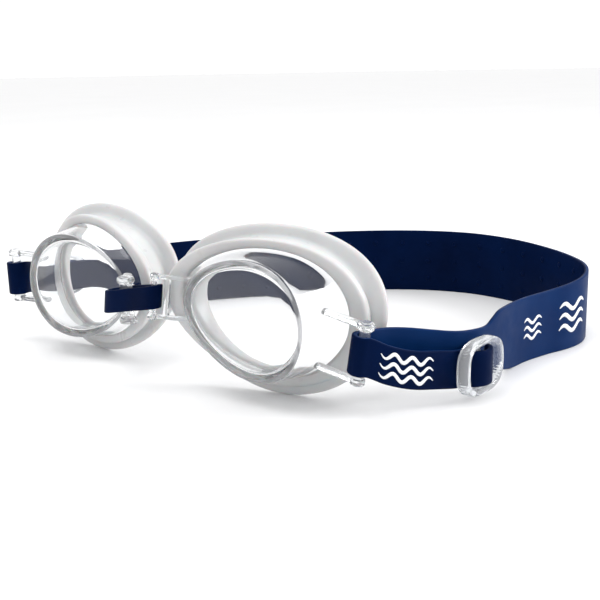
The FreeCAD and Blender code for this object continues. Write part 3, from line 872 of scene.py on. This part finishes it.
def make_buckle(tag, matrix, body):
    """A clear ring with ribbed ends, and a bar across its window."""
    rings = []
    for half_length, half_height, squareness, rib, x in RING_PROFILE:
        outline = rounded_outline(half_length, half_height, squareness, rib)
        rings.append([matrix @ Vector((x, y, z)) for y, z in outline])
    vertices, faces = loft(rings, closed=True)
    ring = make_piece(f"buckle_{tag}", vertices, faces, body, [adjuster_plastic])
    soften(ring, 1)
    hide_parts(f"adjuster_{tag}")
    bar_rings = []
    for z in (-6.0, -5.6, 5.6, 6.0):
        bar_ring = []
        for step in range(BAR_STEPS):
            angle = 2 * math.pi * step / BAR_STEPS
            x = BAR_MIDDLE + BAR_HALF_THICKNESS * math.sin(angle)
            bar_ring.append(matrix @ Vector((x, BAR_HALF_WIDTH * math.cos(angle), z)))
        bar_rings.append(bar_ring)
    vertices, faces = loft(bar_rings, capped=True)
    make_piece(f"buckle_bar_{tag}", vertices, faces, body, [adjuster_plastic])


def make_woven_end(tag, matrix, body):
    """The free end of the strap, in an arch over the adjuster's bar."""
    rings = []
    for step in range(ARCH_STEPS + 1):
        angle = ARCH_HALF_ANGLE * (2 * step / ARCH_STEPS - 1)
        outward = Vector((math.cos(angle), math.sin(angle), 0))
        reach = outward * ARCH_RADIUS - Vector((ARCH_RADIUS - ARCH_RISE, 0, 0))
        rings.append([
            matrix @ (reach + outward * across + up(height))
            for across, height in band_section(STRAP_THICKNESS, WOVEN_WIDTH)
        ])
    vertices, faces = loft(rings, capped=True)
    # The woven end takes the darker copy of the navy silicone, painted shade.
    woven = make_piece(f"woven_end_{tag}", vertices, faces, body, [shaded_silicone])
    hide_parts(f"strap_end_{tag}")


def make_adjuster(tag):
    matrix = adjuster_frame(tag)
    body = f"{tag}_adjuster"
    make_buckle(tag, matrix, body)
    make_woven_end(tag, matrix, body)


# ---------------------------------------------------------------- floor, light and camera

FLOOR_RADIUS = 8.0
CAMERA_PLACE = (210.5, -179.7, 89.1)
CAMERA_YAW = 0.711
CAMERA_PITCH = 0.236
CAMERA_ROLL = -0.018
CAMERA_LENS = 59.5
BRIGHTEST_LIFT = 0.7
DIM_SIDE = 0.8
BRIGHT_SIDE = 1.06


def add_floor():
    mesh = bpy.data.meshes.new("floor")
    shape = bmesh.new()
    bmesh.ops.create_circle(shape, cap_ends=True, segments=64, radius=FLOOR_RADIUS)
    shape.to_mesh(mesh)
    shape.free()
    mesh.materials.append(floor_white)
    floor = bpy.data.objects.new("floor", mesh)
    bpy.context.scene.collection.objects.link(floor)


def add_light(name, where, size, power):
    light = bpy.data.lights.new(name, "AREA")
    light.shape = "DISK"
    light.size = size
    light.energy = power
    lamp = bpy.data.objects.new(name, light)
    lamp.location = where
    lamp.rotation_euler = (-Vector(where)).to_track_quat("-Z", "Y").to_euler()
    bpy.context.scene.collection.objects.link(lamp)


def add_studio():
    """A white room, brighter behind the goggles and overhead than behind the camera, with two lamps."""
    world = bpy.data.worlds.new("studio")
    world.use_nodes = True
    tree = world.node_tree
    where = tree.nodes.new("ShaderNodeTexCoord")
    backward = tree.nodes.new("ShaderNodeVectorMath")
    backward.operation = "DOT_PRODUCT"
    backward.inputs[1].default_value = (-math.sin(CAMERA_YAW), math.cos(CAMERA_YAW), BRIGHTEST_LIFT)
    tree.links.new(where.outputs["Generated"], backward.inputs[0])
    spread = tree.nodes.new("ShaderNodeMapRange")
    spread.interpolation_type = "SMOOTHSTEP"
    spread.inputs["From Min"].default_value = -0.9
    spread.inputs["From Max"].default_value = 0.7
    spread.inputs["To Min"].default_value = DIM_SIDE
    spread.inputs["To Max"].default_value = BRIGHT_SIDE
    tree.links.new(backward.outputs["Value"], spread.inputs["Value"])
    tree.links.new(spread.outputs["Result"], tree.nodes["Background"].inputs["Strength"])
    tree.nodes["Background"].inputs["Color"].default_value = (1.0, 1.0, 1.0, 1)
    bpy.context.scene.world = world
    bpy.context.scene.view_settings.view_transform = "Standard"
    add_light("key", where=(0.8, 0.5, 0.45), size=0.45, power=7.0)
    add_light("top", where=(-0.1, -0.25, 1.0), size=0.7, power=4.0)


def add_camera():
    data = bpy.data.cameras.new("camera")
    data.lens = CAMERA_LENS
    data.sensor_width = 36.0
    data.clip_start = 0.01
    camera = bpy.data.objects.new("camera", data)
    camera.location = place(*CAMERA_PLACE)
    level = math.cos(CAMERA_PITCH)
    forward = Vector((-math.sin(CAMERA_YAW) * level, math.cos(CAMERA_YAW) * level, -math.sin(CAMERA_PITCH)))
    camera.rotation_mode = "QUATERNION"
    camera.rotation_quaternion = forward.to_track_quat("-Z", "Y") @ Quaternion((0, 0, 1), CAMERA_ROLL)
    bpy.context.scene.collection.objects.link(camera)
    bpy.context.scene.camera = camera


# ---------------------------------------------------------------- the whole

for tag in CUPS:
    make_cup(tag)
    make_gasket(tag)
    make_adjuster(tag)
for tag in CUPS:
    make_temple_lug(tag)
make_nose_ladder()
make_nose_post()
head_route = make_head_strap()
make_grips(head_route)
make_marks(head_route)
make_nose_strap()
add_floor()
add_studio()
add_camera()
